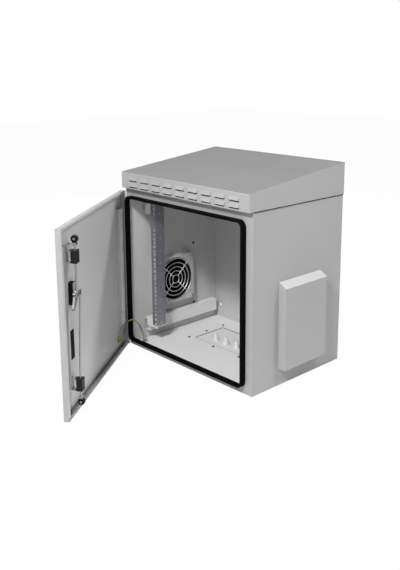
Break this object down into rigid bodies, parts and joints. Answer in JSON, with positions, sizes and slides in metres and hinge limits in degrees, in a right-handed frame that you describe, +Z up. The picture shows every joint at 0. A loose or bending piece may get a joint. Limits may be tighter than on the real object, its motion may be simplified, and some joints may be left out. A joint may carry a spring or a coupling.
{
  "type": "outdoor rack cabinet",
  "caption": "Grey sheet-steel cabinet for 19-inch equipment with a sloping vented roof, side rain hoods, a sealed door on outside hinges, a rod lock and a fan",
  "frame": {"origin": "middle of the base, on the plane it stands on", "axes": "+X to the right seen from the front, +Y from the door to the back wall, +Z up"},
  "size_m": [0.658, 0.9145, 0.673],
  "materials": {
    "grey_paint": "fine-textured light grey powder coat",
    "zinc_plate": "bluish zinc-plated steel",
    "bright_steel": "bright plated steel",
    "black_rubber": "matt black foam rubber",
    "black_plastic": "moulded black plastic",
    "black_handle": "satin black die casting",
    "black_screw": "blackened steel screws",
    "cast_alloy": "pale grey die-cast fan frame",
    "pale_rubber": "pale grey soft rubber",
    "wire_sheath": "green and yellow sheath"
  },
  "bodies": {
    "cabinet": {"left_wall": "grey_paint", "right_wall": "grey_paint", "back_wall": "grey_paint", "floor_panel": "grey_paint", "gland_plate": "grey_paint", "top_panel": "grey_paint", "left_roof_angle": "grey_paint", "right_roof_angle": "grey_paint", "front_frame": "grey_paint", "roof_hood": "grey_paint", "left_rain_hood": "grey_paint", "right_rain_hood": "grey_paint", "left_lower_depth_rail": "grey_paint", "left_upper_depth_rail": "grey_paint", "right_lower_depth_rail": "grey_paint", "right_upper_depth_rail": "grey_paint", "left_lower_rail_bracket": "grey_paint", "left_upper_rail_bracket": "grey_paint", "right_lower_rail_bracket": "grey_paint", "right_upper_rail_bracket": "grey_paint", "left_rack_rail": "zinc_plate", "right_rack_rail": "zinc_plate", "door_seal": "black_rubber", "plate_screws": "black_screw", "grommets": "pale_rubber", "left_hood_screws": "black_screw", "right_hood_screws": "black_screw", "fan_frame": "cast_alloy", "fan_guard": "bright_steel", "fan_screws": "bright_steel", "lower_hinge_pin_leaf": "grey_paint", "upper_hinge_pin_leaf": "grey_paint", "floor_earth_stud": "bright_steel", "plate_bead": "black_rubber", "louvre_screen": "black_rubber", "left_roof_strip": "black_rubber", "right_roof_strip": "black_rubber", "earth_wire": "wire_sheath"},
    "door": {"door_panel": "grey_paint", "hinge_strip": "grey_paint", "lock_channel": "grey_paint", "lower_guide_bracket": "grey_paint", "upper_guide_bracket": "grey_paint", "lower_rod_guide": "black_plastic", "upper_rod_guide": "black_plastic", "lower_hinge_door_leaf": "grey_paint", "upper_hinge_door_leaf": "grey_paint", "escutcheon": "black_plastic", "door_earth_stud": "bright_steel"},
    "lock": {"spindle": "black_handle", "lock_cam": "bright_steel", "cam_nut": "bright_steel"},
    "lever": {"swing_lever": "black_handle"},
    "upper_rod": {"upper_rod": "bright_steel"},
    "lower_rod": {"lower_rod": "bright_steel"},
    "upper_roller": {"upper_roller": "black_plastic"},
    "lower_roller": {"lower_roller": "black_plastic"},
    "key_plug": {"key_plug": "bright_steel"},
    "fan_rotor": {"fan_rotor": "black_plastic"}
  },
  "joints": [
    {"name": "door_hinge", "type": "hinge", "parent": "cabinet", "child": "door", "pos_m": [-0.303, -0.2135, 0.28], "axis": [0, 0, -1], "range_deg": [-53, 67], "deforming": ["earth_wire"]},
    {"name": "handle_turn", "type": "hinge", "parent": "door", "child": "lock", "pos_m": [0.01837, -0.63997, 0.36], "axis": [-0.7986, -0.6018, 0], "range_deg": [-32, 58]},
    {"name": "handle_lift", "type": "hinge", "parent": "lock", "child": "lever", "pos_m": [-0.00982, -0.66122, 0.36], "axis": [-0.3189, 0.4232, 0.848], "range_deg": [0, 40]},
    {"name": "upper_rod_slide", "type": "slide", "parent": "door", "child": "upper_rod", "axis": [0, 0, 1], "range_m": [-0.00687, 0.01204]},
    {"name": "lower_rod_slide", "type": "slide", "parent": "door", "child": "lower_rod", "axis": [0, 0, -1], "range_m": [-0.00687, 0.01204]},
    {"name": "upper_roller_spin", "type": "hinge", "parent": "upper_rod", "child": "upper_roller", "pos_m": [0.03977, -0.64012, 0.52], "axis": [0.6018, -0.7986, 0], "continuous": true},
    {"name": "lower_roller_spin", "type": "hinge", "parent": "lower_rod", "child": "lower_roller", "pos_m": [0.03977, -0.64012, 0.042], "axis": [0.6018, -0.7986, 0], "continuous": true},
    {"name": "key_turn", "type": "hinge", "parent": "door", "child": "key_plug", "pos_m": [-0.0008, -0.65441, 0.16], "axis": [-0.7986, -0.6018, 0], "range_deg": [0, 90]},
    {"name": "fan_spin", "type": "hinge", "parent": "cabinet", "child": "fan_rotor", "pos_m": [-0.285, -0.02, 0.205], "axis": [1, 0, 0], "continuous": true}
  ],
  "couplings": [
    {"joint": "upper_rod_slide", "follows": "handle_turn", "m_per_rad": 0.0114},
    {"joint": "lower_rod_slide", "follows": "handle_turn", "m_per_rad": 0.0114}
  ]
}
